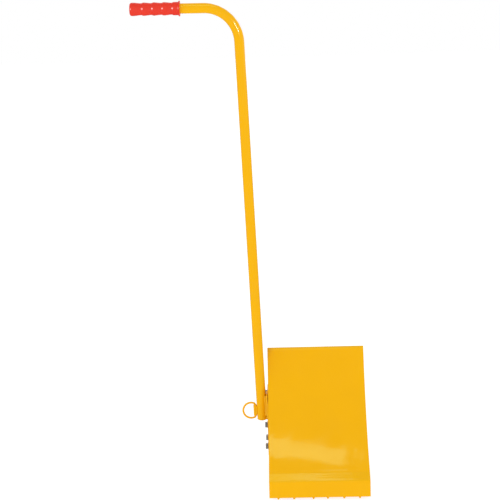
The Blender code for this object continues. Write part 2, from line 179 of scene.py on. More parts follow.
# ---------------------------------------------------------------- materials
class Nodes:
    """The emptied node tree of a material or world, with short helpers for wiring it."""

    def __init__(self, owner, space=None):
        self.owner = owner
        owner.use_nodes = True
        self.tree = owner.node_tree
        self.tree.nodes.clear()
        if space:
            self.coords = self.node("TexCoord").outputs[space]

    def link(self, source, socket):
        """Feed a socket from a number, a colour or vector, or another node's output."""
        if isinstance(source, (int, float)):
            socket.default_value = source
        elif isinstance(source, tuple):
            socket.default_value = source if socket.type == 'VECTOR' else source + (1.0,)
        else:
            self.tree.links.new(source, socket)

    def node(self, kind, inputs=None, **settings):
        node = self.tree.nodes.new("ShaderNode" + kind)
        for key, value in settings.items():
            setattr(node, key, value)
        for key, value in (inputs or {}).items():
            self.link(value, node.inputs[key])
        return node

    def math(self, operation, *values):
        return self.node("Math", dict(enumerate(values)), operation=operation).outputs[0]

    def add(self, first, second):
        return self.math('ADD', first, second)

    def sub(self, first, second):
        return self.math('SUBTRACT', first, second)

    def mul(self, first, second):
        return self.math('MULTIPLY', first, second)

    def noise(self, scale, detail=2.0, rough=0.5, distort=0.0, coords=None):
        return self.node("TexNoise", {
            "Vector": coords or self.coords, "Scale": scale, "Detail": detail,
            "Roughness": rough, "Distortion": distort}).outputs["Fac"]

    def cells(self, scale):
        return self.node("TexVoronoi", {"Vector": self.coords,
                                        "Scale": scale}).outputs["Distance"]

    def stretched(self, scale, turn=(0, 0, 0)):
        return self.node("Mapping", {"Vector": self.coords, "Scale": scale,
                                     "Rotation": turn}).outputs[0]

    def remap(self, value, span, to=(0.0, 1.0), curve='SMOOTHSTEP'):
        """Carry the range span onto the range to."""
        return self.node("MapRange", {
            "Value": value, "From Min": span[0], "From Max": span[1],
            "To Min": to[0], "To Max": to[1]}, interpolation_type=curve).outputs[0]

    def mix(self, share, first, second):
        return self.node("Mix", {0: share, 6: first, 7: second}, data_type='RGBA').outputs[2]

    def mix_shader(self, share, first, second):
        return self.node("MixShader", {0: share, 1: first, 2: second}).outputs[0]

    def emission(self, **inputs):
        return self.node("Emission", inputs).outputs[0]

    def bump(self, height, strength, distance):
        return self.node("Bump", {"Strength": strength, "Distance": distance,
                                  "Height": height}).outputs[0]

    def pointiness(self):
        return self.node("NewGeometry").outputs["Pointiness"]

    def axis(self, name):
        return self.node("SeparateXYZ", {0: self.coords}).outputs[name]

    def finish(self, shader):
        self.node("OutputMaterial", {0: shader})
        return self.owner

    def principled(self, inputs):
        return self.finish(self.node("BsdfPrincipled", inputs).outputs[0])


def object_nodes(name):
    return Nodes(bpy.data.materials.new(name), space="Object")


COAT = (0.928, 0.472, 0.0034)
COAT_IOR = 1.47


def coat_shade(red, green, blue=COAT[2]):
    """The coat's red and green scaled; blue, which is close to none, is given outright."""
    return (COAT[0] * red, COAT[1] * green, blue)


def coat_colour(m, fine):
    """Golden yellow: blotches, fine specks, thin coat on edges and painted shade in hollow
    corners.
    """
    blotch = m.noise(scale=11.0, detail=3.0, rough=0.55)
    colour = m.mix(m.remap(blotch, span=(0.35, 0.68), to=(0.0, 0.55)), COAT,
                   coat_shade(red=0.972, green=0.965, blue=0.00408))
    colour = m.mix(m.remap(fine, span=(0.55, 0.8), to=(0.0, 0.14)), colour,
                   coat_shade(red=0.93, green=0.90))
    edge = m.remap(m.pointiness(), span=(0.53, 0.60), to=(0.0, 0.30))
    colour = m.mix(edge, colour, coat_shade(red=0.90, green=0.82, blue=0.00306))
    # painted shade: the coat is darkened in hollow corners, where shade falls
    corner = m.remap(m.pointiness(), span=(0.47, 0.41), to=(0.0, 0.45))
    return m.mix(corner, colour, coat_shade(red=0.80, green=0.70, blue=0.00272))


# the face's duller strip, plus painted highlight, painted shade and painted shadow near its top
# edge
def face_marks_and_painted_light(m, colour, left, top):
    """Colour, IOR and added roughness for the face, from its left and top edges in metres."""
    z = m.axis("Z")
    x = m.axis("X")
    wander = m.mul(m.sub(m.noise(scale=45.0, detail=3.0), 0.5), 0.0022)
    wavy_z = m.add(z, wander)
    # the hammered strip above the toe bend: the coat is duller there, most of all at left
    strip = m.mul(m.remap(z, span=(top - 0.2872, top - 0.2852)),
                  m.remap(z, span=(top - 0.2690, top - 0.2705)))
    worn = m.mul(strip, m.remap(x, span=(left + 0.120, left + 0.010)))
    colour = m.mix(strip, colour, coat_shade(red=0.952, green=0.975, blue=0.00408))
    colour = m.mix(worn, colour, coat_shade(red=0.970, green=1.020, blue=0.00408))
    dull = m.mul(worn, 0.10)
    gloss = m.sub(COAT_IOR, m.mul(worn, 0.13))
    # painted highlight: a paler line below the top edge; painted shade: a darker line on the
    # edge itself
    pale = m.mul(m.remap(wavy_z, span=(top - 0.0085, top - 0.0048)),
                 m.remap(x, span=(left + 0.245, left + 0.18), to=(0.15, 0.85)))
    colour = m.mix(pale, colour, coat_shade(red=0.99, green=1.06, blue=0.020))
    # painted shade along the top edge
    painted_edge_shade = m.remap(wavy_z, span=(top - 0.0046, top - 0.0022), to=(0.0, 0.85))
    colour = m.mix(painted_edge_shade, colour, coat_shade(red=0.83, green=0.90, blue=0.010))
    # painted shadow of the handle's tube: a dark patch on the top corner beside the handle
    reach = m.add(m.mul(m.sub(x, left), 58.0), m.mul(m.sub(top, z), 26.0))
    reach = m.add(reach, m.mul(m.noise(scale=70.0, detail=4.0, rough=0.6), 0.7))
    colour = m.mix(m.remap(reach, span=(1.45, 0.55), to=(0.0, 0.9)), colour,
                   coat_shade(red=0.74, green=0.70, blue=0.018))
    return colour, gloss, dull


def coat_height(m, fine, peel, face, weld):
    """Orange peel with a few dust nibs under it; waves on the face, grit on welds."""
    peel_small = m.noise(scale=430.0, detail=2.0, rough=0.45)
    peel_large = m.noise(scale=120.0, detail=2.0, rough=0.5)
    some = m.math('GREATER_THAN', m.noise(scale=33.0, detail=1.0), 0.60)
    nibs = m.mul(m.remap(m.cells(scale=95.0), span=(0.075, 0.03)), some)
    height = m.add(m.mul(peel_small, 0.55 * peel), m.mul(peel_large, 0.9 * peel))
    height = m.add(height, m.mul(nibs, 1.4))
    height = m.add(height, m.mul(fine, 0.05 * peel))
    if face:        # rolled plate is never quite true: long shallow waves
        height = m.add(height, m.mul(m.noise(scale=24.0, detail=2.0, rough=0.45), 6.5))
    if weld:
        height = m.add(height, m.mul(m.noise(scale=900.0, detail=3.0, rough=0.6), 0.5))
    return height


def powder_coat(name, rough, peel=0.6, weld=False, face=None):
    """Yellow powder coat; face is the face plate's left and top edge, for its duller strip and
    its painted highlight, shade and shadow.
    """
    m = object_nodes(name)
    fine = m.noise(scale=1900.0, detail=2.0, rough=0.6)
    colour = coat_colour(m, fine)
    gloss = COAT_IOR
    if face:
        colour, gloss, dull = face_marks_and_painted_light(m, colour, *face)
    # faint handling marks
    scratch = m.noise(scale=60.0, detail=5.0, rough=0.7, distort=0.4,
                      coords=m.stretched(scale=(1.0, 14.0, 1.0), turn=(0.5, 0.2, 0.35)))
    marks = m.remap(scratch, span=(0.66, 0.74))
    cloud = m.noise(scale=26.0, detail=4.0, rough=0.6)
    roughness = m.add(m.mul(cloud, 0.10), rough - 0.05)
    roughness = m.add(roughness, m.mul(marks, 0.06))
    if face:
        roughness = m.add(roughness, dull)
    height = coat_height(m, fine, peel, face, weld)
    return m.principled({"Base Color": colour, "Roughness": roughness, "IOR": gloss,
                         "Normal": m.bump(height, strength=0.55, distance=0.00016)})


def zinc_plate(name, turn=(0, 0, 0)):
    """Bluish-grey bright zinc with dull spots, bright edges, painted shade in hollow corners and
    drawn lines set by turn.
    """
    m = object_nodes(name)
    cloud = m.noise(scale=190.0, detail=4.0, rough=0.6)
    drawn = m.noise(scale=700.0, detail=3.0, rough=0.6,
                    coords=m.stretched(scale=(8.0, 1.0, 1.0), turn=turn))
    colour = m.mix(m.remap(cloud, span=(0.35, 0.66)), (0.44, 0.51, 0.63), (0.50, 0.56, 0.64))
    spots = m.noise(scale=900.0, detail=3.0, rough=0.65)
    colour = m.mix(m.remap(spots, span=(0.60, 0.76), to=(0.0, 0.7)), colour,
                   (0.27, 0.29, 0.325))
    edge = m.remap(m.pointiness(), span=(0.52, 0.60), to=(0.0, 0.6))
    colour = m.mix(edge, colour, (0.70, 0.74, 0.80))
    # painted shade: much darker in hollow corners, where shade falls
    corner = m.remap(m.pointiness(), span=(0.48, 0.42), to=(0.0, 0.8))
    colour = m.mix(corner, colour, (0.17, 0.175, 0.185))
    height = m.add(drawn, m.mul(cloud, 0.6))
    return m.principled({"Base Color": colour, "Roughness": m.add(m.mul(cloud, 0.22), 0.22),
                         "Metallic": 0.72,
                         "Normal": m.bump(height, strength=0.35, distance=0.00005)})


def soft_vinyl(name):
    """Dip-moulded red vinyl: fine grain, slight mottling, faint scuffs, painted shade in hollow
    corners.
    """
    m = object_nodes(name)
    mottle = m.noise(scale=70.0, detail=4.0, rough=0.6)
    colour = m.mix(m.remap(mottle, span=(0.35, 0.7), to=(0.0, 0.6)),
                   (0.845, 0.037, 0.0135), (0.77, 0.029, 0.0110))
    # painted shade: darker in hollow corners, where shade falls
    corner = m.remap(m.pointiness(), span=(0.49, 0.44), to=(0.0, 0.6))
    colour = m.mix(corner, colour, (0.62, 0.016, 0.009))
    scuff = m.noise(scale=240.0, detail=5.0, rough=0.7, distort=0.3,
                    coords=m.stretched(scale=(6.0, 1.0, 1.0)))
    colour = m.mix(m.remap(scuff, span=(0.62, 0.76), to=(0.0, 0.22)), colour,
                   (0.93, 0.085, 0.050))
    roughness = m.add(m.mul(mottle, 0.08), 0.25)
    roughness = m.add(roughness, m.mul(m.remap(scuff, span=(0.62, 0.76)), 0.10))
    height = m.add(m.mul(m.cells(scale=900.0), 0.25),
                   m.noise(scale=260.0, detail=3.0, rough=0.55))
    return m.principled({"Base Color": colour, "Roughness": roughness, "IOR": 1.50,
                         "Normal": m.bump(height, strength=0.40, distance=0.00009)})


face_low, face_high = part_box("face_plate")
PAINT = powder_coat("powder_coat_plate", rough=0.09)
PAINT_FACE = powder_coat("powder_coat_face", rough=0.09, face=(face_low.x, face_high.z))
PAINT_ROUND = powder_coat("powder_coat_tube", rough=0.11)
PAINT_WELD = powder_coat("powder_coat_weld", rough=0.26, peel=1.1, weld=True)
ZINC = zinc_plate("zinc_plate_face")
ZINC_TURNED = zinc_plate("zinc_plate_turned", turn=(0, 0, pi / 2))
VINYL = soft_vinyl("soft_vinyl_red")


# ---------------------------------------------------------------- mesh tools
# A mesh here is a pair: vertices in millimetres, and faces.
def roll_edges(bm, width):
    bm.normal_update()
    edges = [edge for edge in bm.edges if len(edge.link_faces) == 2
             and edge.calc_face_angle(0.0) > radians(62.0)]
    bmesh.ops.bevel(bm, geom=edges, offset=width * METRES_PER_MM, segments=3, profile=0.5,
                    affect='EDGES', clamp_overlap=True)


def piece(name, mesh, material, sharp, stands_for=None, body="chock",
          edge_roll=None):
    """Make an object that rides on a body; edges over sharp degrees shade as sharp."""
    verts, faces = mesh
    bm = bmesh.new()
    made = [bm.verts.new(Vector(vert) * METRES_PER_MM) for vert in verts]
    for face in faces:
        bm.faces.new([made[i] for i in face])
    bmesh.ops.recalc_face_normals(bm, faces=bm.faces)
    if edge_roll:
        roll_edges(bm, edge_roll)
    data = bpy.data.meshes.new(name)
    bm.to_mesh(data)
    bm.free()
    data.shade_smooth()
    data.set_sharp_from_angle(angle=radians(sharp))
    data.materials.append(material)
    thing = bpy.data.objects.new(name, data)
    bpy.context.scene.collection.objects.link(thing)
    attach(thing, body)
    if stands_for:
        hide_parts(stands_for)


def weld_piece(name, meshes):
    """Join weld meshes into one painted piece."""
    verts, faces = [], []
    for part_verts, part_faces in meshes:
        start = len(verts)
        verts += part_verts
        faces += [tuple(i + start for i in face) for face in part_faces]
    piece(name, (verts, faces), PAINT_WELD, sharp=60)


def skin(loops, closed=False):
    """Mesh over a row of equal loops: capped at both ends, or closed into a ring."""
    sides = len(loops[0])
    rows = len(loops)
    verts = [point for loop in loops for point in loop]
    faces = []
    for row in range(rows if closed else rows - 1):
        here = row * sides
        there = ((row + 1) % rows) * sides
        for i in range(sides):
            j = (i + 1) % sides
            faces.append((here + i, here + j, there + j, there + i))
    if not closed:
        faces.append(tuple(range(sides - 1, -1, -1)))
        faces.append(tuple((rows - 1) * sides + i for i in range(sides)))
    return verts, faces


def loop_at(centre, plane, radius, sides, turn=0.0):
    """A loop in the plane of two directions; radius is a number or a function of angle."""
    loop = []
    for i in range(sides):
        angle = 2 * pi * i / sides
        size = radius(angle) if callable(radius) else radius
        angle += turn
        loop.append(centre + plane[0] * (size * cos(angle)) + plane[1] * (size * sin(angle)))
    return loop


def lathe(origin, axis, plane, profile, sides, turn=0.0, wobble=None):
    """Loops for a profile of (distance along axis, radius); wobble adds to the radius."""
    loops = []
    for along, radius in profile:
        size = (lambda angle: radius + wobble(angle, along)) if wobble else radius
        loops.append(loop_at(origin + axis * along, plane, size, sides, turn))
    return loops


def with_runs(points):
    """Each point with its number and the length run so far."""
    run = 0.0
    for i, point in enumerate(points):
        if i:
            run += (point - points[i - 1]).length
        yield i, point, run


def end_taper(i, count, blunt):
    """Size of a weld near its ends: a round nose that starts at the share blunt."""
    share = min(1.0, min(i, count - 1 - i) / 2.6)
    return sqrt(1 - (1 - share) ** 2) * (1 - blunt) + blunt


def bead(points, radius, pitch, ripple, seed, sides=14, closed=False, first=X_AXIS,
         squash=1.0):
    """A rippled rope of weld metal along points, squashed along the direction first."""
    count = len(points)
    loops = []
    for i, point, run in with_runs(points):
        if closed:
            ahead = (points[(i + 1) % count] - points[i - 1]).normalized()
            end = 1.0
        else:
            ahead = (points[min(i + 1, count - 1)] - points[max(i - 1, 0)]).normalized()
            end = end_taper(i, count, blunt=0.03)
        out = (first - ahead * first.dot(ahead)).normalized()
        side = ahead.cross(out)
        loop = []
        for j in range(sides):
            angle = 2 * pi * j / sides
            phase = (run / pitch + 0.16 * cos(angle * 2.0)) % 1.0
            swell = 1 + ripple * (0.5 - phase) + 0.10 * noise_at(run * 0.13, seed, 0.3)
            size = radius * swell * end
            loop.append(point + out * (size * cos(angle) * squash) + side * (size * sin(angle)))
        loops.append(loop)
    return skin(loops, closed=closed)


def fillet(points, across, backs, size, seed, pitch=2.8, ripple=0.12, closed=False):
    """A fillet weld in a corner: across lies along one plate, backs along the other,
    with one direction for each point."""
    steps = 9
    loops = []
    for i, point, run in with_runs(points):
        back = backs[i]
        end = 1.0 if closed else end_taper(i, len(points), blunt=0.04)
        loop = [point - (across + back) * (0.45 * end)]
        for k in range(steps + 1):
            share = k / steps
            rest = 1 - share
            phase = (run / pitch + 0.55 * sin(share * pi)) % 1.0
            swell = (1 + 0.16 * noise_at(run * 0.11, seed, 1.0)
                     + 0.10 * noise_at(run * 0.45, seed, 4.0))
            leg = size * end * swell * (1 + ripple * (0.5 - phase) * sin(share * pi))
            bulge = 1 + 0.30 * sin(share * pi)
            loop.append(point + (across * rest + back * share) * (leg * bulge)
                        - (across * share + back * rest) * (0.25 * end))
        loops.append(loop)
    return skin(loops, closed=closed)


def walk(start, end):
    """Points about 0.7 mm apart from start to end."""
    count = max(6, int((end - start).length / 0.7))
    return [start.lerp(end, i / count) for i in range(count + 1)]


# ---------------------------------------------------------------- face plate
def face_path():
    """(y, z, slope, run, zone) up the plate's front."""
    flange = radians(FLANGE_ANGLE)
    strip = radians(STRIP_ANGLE)
    low = radians(FACE_ANGLE_LOW)
    path = [(0.0, EDGE_Z, flange, 0.0, "flange")]

    def straight(length, steps, zone):
        for _ in range(steps):
            y, z, slope, run, _zone = path[-1]
            part = length / steps
            path.append((y + part * cos(slope), z + part * sin(slope), slope, run + part, zone))

    def arc(radius, end, steps, zone):
        y, z, start, run, _zone = path[-1]
        centre_y = y + radius * sin(start)
        centre_z = z - radius * cos(start)
        for i in range(1, steps + 1):
            slope = start + (end - start) * i / steps
            path.append((centre_y - radius * sin(slope), centre_z + radius * cos(slope), slope,
                         run + abs(radius * (slope - start)), zone))

    bend_setback = BEND_R * tan((flange - strip) / 2)
    crease_setback = CREASE_R * tan((strip - low) / 2)
    straight(FLANGE_H - bend_setback, steps=16, zone="flange")
    arc(BEND_R, strip, steps=12, zone="bend")
    straight(STRIP_LEN - bend_setback - crease_setback, steps=18, zone="strip")
    arc(CREASE_R, low, steps=5, zone="crease")
    arc(-FACE_R, radians(FACE_ANGLE_TOP), steps=150, zone="face")
    return path


PATH = face_path()


def first_run(zone):
    return next(run for _y, _z, _slope, run, name in PATH if name == zone)


RUN_BEND = first_run("bend")
RUN_STRIP = first_run("strip")
RUN_CREASE = first_run("crease")
RUN_TOP = PATH[-1][3]

# waves over the whole plate: height, frequency in x, frequency along the run, seed
PLATE_WAVES = ((0.30, 0.0085, 0.010, 3.1), (0.10, 0.028, 0.030, 8.4), (0.012, 0.12, 0.12, 2.2))
# small knocks: x, run, half width, depth
KNOCKS = ((-9.0, 118.0, 2.2, 0.16), (41.0, 236.0, 1.8, 0.12), (-63.0, 300.0, 2.6, 0.12))


def bend_marks(x, run):
    """Die marks along both edges of the toe bend and along the crease above it."""
    wander = 0.5 * noise_at(x * 0.03, 0.0, 5.0)
    depth = 0.5 + 0.9 * max(0.0, noise_at(x * 0.045, 2.0, 7.7) + 0.25)
    middle = (RUN_BEND + RUN_STRIP) / 2
    lift = 0.42 * bell(run - middle - 0.4, 2.3)
    lift -= 0.16 * depth * bell(run - middle - 2.0 - wander, 0.9)
    lift -= 0.10 * bell(run - RUN_BEND + 1.0 - wander, 1.2)
    return lift + 0.06 * bell(run - RUN_CREASE - 1.0 - wander, 2.0)


def strip_marks(x, run):
    """The strip: a slight tilt, hammered lumps to the left, drawn lines to the right."""
    middle = (RUN_STRIP + RUN_CREASE) / 2
    tilt = 0.030 * smooth_step(x, -115.0, -15.0) - 0.008
    lift = -(tilt * (run - middle) * smooth_step(run, RUN_STRIP - 6.0, RUN_STRIP + 1.0)
             * (1 - smooth_step(run, RUN_CREASE, RUN_CREASE + 14.0)))
    inside = (smooth_step(run, RUN_STRIP, RUN_STRIP + 3.0)
              * (1 - smooth_step(run, RUN_CREASE + 1.0, RUN_CREASE + 7.0)))
    left = 1 - smooth_step(x, -70.0, 60.0)
    lift += inside * left * (0.22 * noise_at(x * 0.052, run * 0.10, 11.0)
                             + 0.07 * noise_at(x * 0.13, run * 0.2, 4.4))
    wavy_run = run - RUN_STRIP + 1.2 * noise_at(x * 0.012, 1.0, 1.0)
    return lift + inside * (1 - left) * 0.10 * sin(wavy_run * 2 * pi / 6.4)


def forming(x, run):
    """How far pressing left the plate's surface from true, in mm, along its normal."""
    lift = 0.0
    for height, by_x, by_run, seed in PLATE_WAVES:
        lift += height * noise_at(x * by_x, run * by_run, seed)
    lift += bend_marks(x, run) + strip_marks(x, run)
    # a low ridge under the top edge, and the edge itself drawn down
    lift += 0.28 * bell(run - RUN_TOP + 8.5, 1.9)
    lift -= 0.20 * bell(run - RUN_TOP, 3.2)
    for knock_x, knock_run, size, depth in KNOCKS:
        spread = ((x - knock_x) / size) ** 2 + ((run - knock_run) / (size * 0.6)) ** 2
        if spread < 9:
            lift -= depth * exp(-spread)
    return lift


def build_face():
    cols = 104
    width = cols + 1
    xs = [-WIDTH / 2 + WIDTH * i / cols for i in range(width)]
    verts = []
    for depth in (0.0, PLATE_T):
        for y, z, slope, run, _zone in PATH:
            for x in xs:
                lift = forming(x, run) - depth
                verts.append((x, y - lift * sin(slope) + TOE_Y, z + lift * cos(slope)))
    rows = len(PATH)
    back = rows * width
    faces = []
    for row in range(rows - 1):                 # front and back surfaces
        for col in range(cols):
            i = row * width + col
            faces.append((i, i + 1, i + width + 1, i + width))
            faces.append((back + i, back + i + width, back + i + width + 1, back + i + 1))
    for row in range(rows - 1):                 # left and right edges
        i = row * width
        faces.append((i, i + width, back + i + width, back + i))
        j = i + cols
        faces.append((j, back + j, back + j + width, j + width))
    for col in range(cols):                     # lower and top edges
        faces.append((col, back + col, back + col + 1, col + 1))
        i = (rows - 1) * width + col
        faces.append((i, i + 1, back + i + 1, back + i))
    piece("face_plate_shell", (verts, faces), PAINT_FACE, sharp=40, stands_for="face_plate",
          edge_roll=EDGE_ROLL)


# ---------------------------------------------------------------- handle
def riser_x(z):
    return TUBE_X - tan(radians(LEAN)) * (z - TUBE_REF_Z)


RISER = Vector((-sin(radians(LEAN)), 0.0, cos(radians(LEAN))))
LEG = Vector((-cos(radians(LEG_RISE)), 0.0, sin(radians(LEG_RISE))))
RISER_PLANE = (Y_AXIS.cross(RISER), Y_AXIS)     # across the riser: right, back


def handle_path():
    """(point, tangent, share of the bend) along the tube's axis, from its foot."""
    bend_steps, riser_steps, leg_steps = 56, 60, 24
    lean = tan(radians(LEAN))
    rise = tan(radians(LEG_RISE))
    # the corner where the axes of riser and leg would meet
    z = (LEG_Z - rise * (riser_x(0.0) - LEG_X)) / (1 - rise * lean)
    corner = Vector((riser_x(z), TUBE_Y, z))
    turn = RISER.angle(LEG)
    start = corner - RISER * (HANDLE_BEND_R * tan(turn / 2))
    inward = Vector((-RISER.z, 0.0, RISER.x))
    centre = start + inward * HANDLE_BEND_R
    foot = Vector((riser_x(TUBE_FOOT_Z), TUBE_Y, TUBE_FOOT_Z))
    path = [(foot.lerp(start, i / riser_steps), RISER, 0.0) for i in range(riser_steps)]
    for i in range(bend_steps + 1):
        angle = turn * i / bend_steps
        point = (centre - inward * (HANDLE_BEND_R * cos(angle))
                 + RISER * (HANDLE_BEND_R * sin(angle)))
        path.append((point, RISER * cos(angle) + inward * sin(angle), i / bend_steps))
    last = path[-1][0]
    length = (LEG_END_X - last.x) / LEG.x
    path += [(last + LEG * (length * i / leg_steps), LEG, 1.0)
             for i in range(1, leg_steps + 1)]
    return path


HANDLE_PATH = handle_path()
FOOT = HANDLE_PATH[0][0]


def tube_radius(run, bend_share):
    """Radius by angle: flattened and rippled by the bend, with a fine raised line along
    the tube's back. Angle 0 points away from the bend's centre."""
    work = sin(pi * bend_share) if 0 < bend_share < 1 else 0.0

    def radius(angle):
        outward = cos(angle)
        size = TUBE_R + 0.05 * noise_at(run * 0.012, cos(angle), sin(angle))
        size -= work * 0.34 * outward * outward
        size += work * 0.18 * (1 - outward * outward)
        size += work * max(0.0, outward) ** 3 * 0.16 * sin(bend_share * 44.0)
        size += 0.16 * bell(angle - 1.45, 0.035) * (1 - 0.5 * work)
        return size
    return radius


def build_tube():
    sides = 72
    # foot rim, from inside the bore round to the outer wall: height, radius
    rim = ((0.5, TUBE_BORE), (0.12, TUBE_BORE + 0.1), (0.0, TUBE_BORE + 0.4),
           (0.0, TUBE_R - 0.8), (0.06, TUBE_R - 0.45), (0.28, TUBE_R - 0.12), (0.7, TUBE_R))
    loops = lathe(FOOT, RISER, RISER_PLANE, rim, sides)
    bore = []
    for i, point, run in with_runs([place[0] for place in HANDLE_PATH]):
        if i == 0:
            continue                            # the rim stands there
        _point, tangent, bend_share = HANDLE_PATH[i]
        plane = (Y_AXIS.cross(tangent), Y_AXIS)
        loops.append(loop_at(point, plane, tube_radius(run, bend_share), sides))
        bore.append(loop_at(point, plane, TUBE_BORE, sides))
    piece("handle_tube_shell", skin(loops + bore[::-1], closed=True), PAINT_ROUND, sharp=40,
          stands_for="handle_tube")


def build_foot_plug():
    """Domed plug in the tube's foot, with its seal weld."""
    plug_r = TUBE_BORE - GAP
    dome = [(-5.0, 0.6)]
    for i in range(1, 15):
        share = i / 14
        dome.append((-5.0 + 4.4 * (1 - sqrt(1 - share * share)) ** 0.9,
                     0.6 + (TUBE_R - 1.0) * share))
    dome += [(-0.3, TUBE_R - 0.4), (-0.3, plug_r), (5.7, plug_r), (6.0, plug_r - 0.3)]

    def wobble(angle, along):
        return 0.06 * noise_at(2 * cos(angle), 2 * sin(angle), along * 0.3)
    piece("tube_foot_dome", skin(lathe(FOOT, RISER, RISER_PLANE, dome, 64, wobble=wobble)),
          PAINT_ROUND, sharp=40, stands_for="tube_foot_plug")
    ring = loop_at(FOOT + RISER * -0.15, RISER_PLANE, TUBE_R - 0.55, 150)
    weld_piece("tube_foot_weld", [bead(ring, radius=1.05, pitch=2.1, ripple=0.14, seed=3.0,
                                       sides=12, closed=True, first=RISER, squash=0.9)])


def grip_radius(along):
    """Radius of the finger waves: a short rise, then a long fall to the next valley."""
    if along <= 12.0 or along > GRIP_VALLEY + 3 * GRIP_PITCH + GRIP_RISE:
        return GRIP_R
    place = (along - GRIP_VALLEY) % GRIP_PITCH
    if place < GRIP_RISE:
        share = place / GRIP_RISE
    else:
        share = 1.0 - (place - GRIP_RISE) / (GRIP_PITCH - GRIP_RISE)
    share = share * share * (3 - 2 * share)
    return GRIP_VALLEY_R + (GRIP_R - GRIP_VALLEY_R) * share


def grip_profile():
    """(distance from the tip, radius, height of the mould line): outside, then bore."""
    profile = [
        (0.75, 1.6, 0.0), (0.70, 3.6, 0.0), (0.15, 4.4, 0.0), (0.0, 5.6, 0.0),
        (0.05, GRIP_R - 6.4, 0.0), (0.30, GRIP_R - 4.6, 0.0), (0.8, GRIP_R - 3.0, 0.0),
        (1.5, GRIP_R - 1.8, 0.05), (2.4, GRIP_R - 0.95, 0.09), (3.4, GRIP_R - 0.42, 0.11),
        (4.6, GRIP_R - 0.12, 0.12)]
    flange = GRIP_LEN - GRIP_FLANGE_T
    start = 6.0
    end = flange - 4.0
    for i in range(121):
        along = start + (end - start) * i / 120
        profile.append((along, grip_radius(along), 0.12))
    # swept root into the rolled flange
    lip_root = GRIP_FLANGE_R - GRIP_LIP_R
    for k in range(1, 9):
        angle = pi / 2 * k / 8
        profile.append((end + 4.0 * sin(angle),
                        GRIP_R + (lip_root - GRIP_R) * (1 - cos(angle)) ** 1.2, 0.06))
    for k in range(9):
        angle = pi * k / 8
        profile.append((flange + GRIP_FLANGE_T / 2 - GRIP_FLANGE_T / 2 * cos(angle),
                        lip_root + GRIP_LIP_R * sin(angle), 0.03))
    bore = TUBE_R + GAP
    return profile + [
        (GRIP_LEN, GRIP_FLANGE_R - 2.6, 0.0), (GRIP_LEN - 0.15, bore + 1.4, 0.0),
        (GRIP_LEN - 0.5, bore + 0.35, 0.0), (GRIP_LEN - 1.4, bore, 0.0), (60.0, bore, 0.0),
        (3.4, bore, 0.0)]


def build_grip():
    tube_end = HANDLE_PATH[-1][0]
    tip = tube_end + LEG * ((GRIP_END_X - tube_end.x) / LEG.x)
    plane = (Y_AXIS.cross(LEG), Y_AXIS)         # up, back
    loops = []
    for along, radius, mould_line in grip_profile():
        grain = 1 if mould_line else 0.2

        def size(angle):
            # the mould line runs along the top and the underside
            line = mould_line * bell(sin(angle - 0.06), 0.030)
            uneven = noise_at(along * 0.05, 2 * cos(angle), 2 * sin(angle))
            return radius + line + 0.05 * uneven * grain
        loops.append(loop_at(tip - LEG * along, plane, size, 80))
    piece("hand_grip_vinyl", skin(loops), VINYL, sharp=50, stands_for="hand_grip")


# ---------------------------------------------------------------- pins
def pin_profile():
    """(height, radius) from the point up."""
    profile = [(0.0, PIN_TIP_R * 0.55), (0.12, PIN_TIP_R * 0.85), (0.45, PIN_TIP_R + 0.15)]
    for i in range(1, 15):
        share = i / 14
        profile.append((0.45 + (PIN_POINT - 0.45) * share,
                        PIN_TIP_R + 0.15 + (PIN_R - PIN_TIP_R - 0.15) * share
                        + 0.03 * sin(share * 40.0)))
    profile.append((PIN_POINT + 0.5, PIN_R))
    profile += [(PIN_POINT + 0.5 + (PIN_LEN - 1.6 - PIN_POINT) * i / 22,
                 PIN_R - 0.03 + 0.03 * cos(i * 1.9)) for i in range(1, 23)]
    return profile + [(PIN_LEN - 0.75, PIN_R - 0.06), (PIN_LEN - 0.25, PIN_R - 0.35),
                      (PIN_LEN, PIN_R - 0.9)]


def build_pins():
    """Pins behind the toe flange, each with a weld down either side."""
    profile = pin_profile()
    y = TOE_Y + PLATE_T + GAP + PIN_R + 0.4
    for k, x in enumerate(PIN_X):
        name = "toe_pin_%d" % (k + 1)

        def wobble(angle, along):
            return 0.045 * noise_at(cos(angle) * 2, sin(angle) * 2 + k, along * 0.4)
        loops = lathe(Vector((x, y, 0.0)), Z_AXIS, (X_AXIS, Y_AXIS), profile, 40,
                      wobble=wobble)
        piece(name + "_turned", skin(loops), PAINT_ROUND, sharp=35, stands_for=name)
        welds = []
        for side in (-1, 1):
            root = Vector((x + side * 3.75, TOE_Y + PLATE_T + 1.35, 0))
            points = walk(root + Vector((0, 0, 9.6)), root + Vector((0, 0, 28.6)))
            welds.append(bead(points, radius=2.1, pitch=2.4, ripple=0.16,
                              seed=k * 2.3 + side))
        weld_piece(name + "_weld", welds)


# ---------------------------------------------------------------- fasteners
# Profiles are (x, radius), from the bolt head on the outside toward the chock's middle.
HEAD_INNER_X = BRACKET_X - GAP - WASHER_T - GAP
INNER_WASHER_X = -SIDE_OUT + PLATE_T + GAP
NUT_X = INNER_WASHER_X + WASHER_T + GAP
TAIL_X = NUT_X + NUT_H + BOLT_TAIL


def hexagon(limit):
    """Radius by angle of the hexagon, cut round at limit."""
    return lambda angle: min(HEX_FLAT / cos((angle % (pi / 3)) - pi / 6), limit)


def thread(x, grow):
    """Radius by angle of the thread at x; grow runs its depth in from 0 to 1."""
    def radius(angle):
        phase = ((x / THREAD_PITCH) - angle / (2 * pi)) % 1.0
        ridge = 1 - abs(2 * phase - 1)
        return BOLT_R - THREAD_DEPTH * grow * (1 - min(1.0, ridge * 1.25))
    return radius


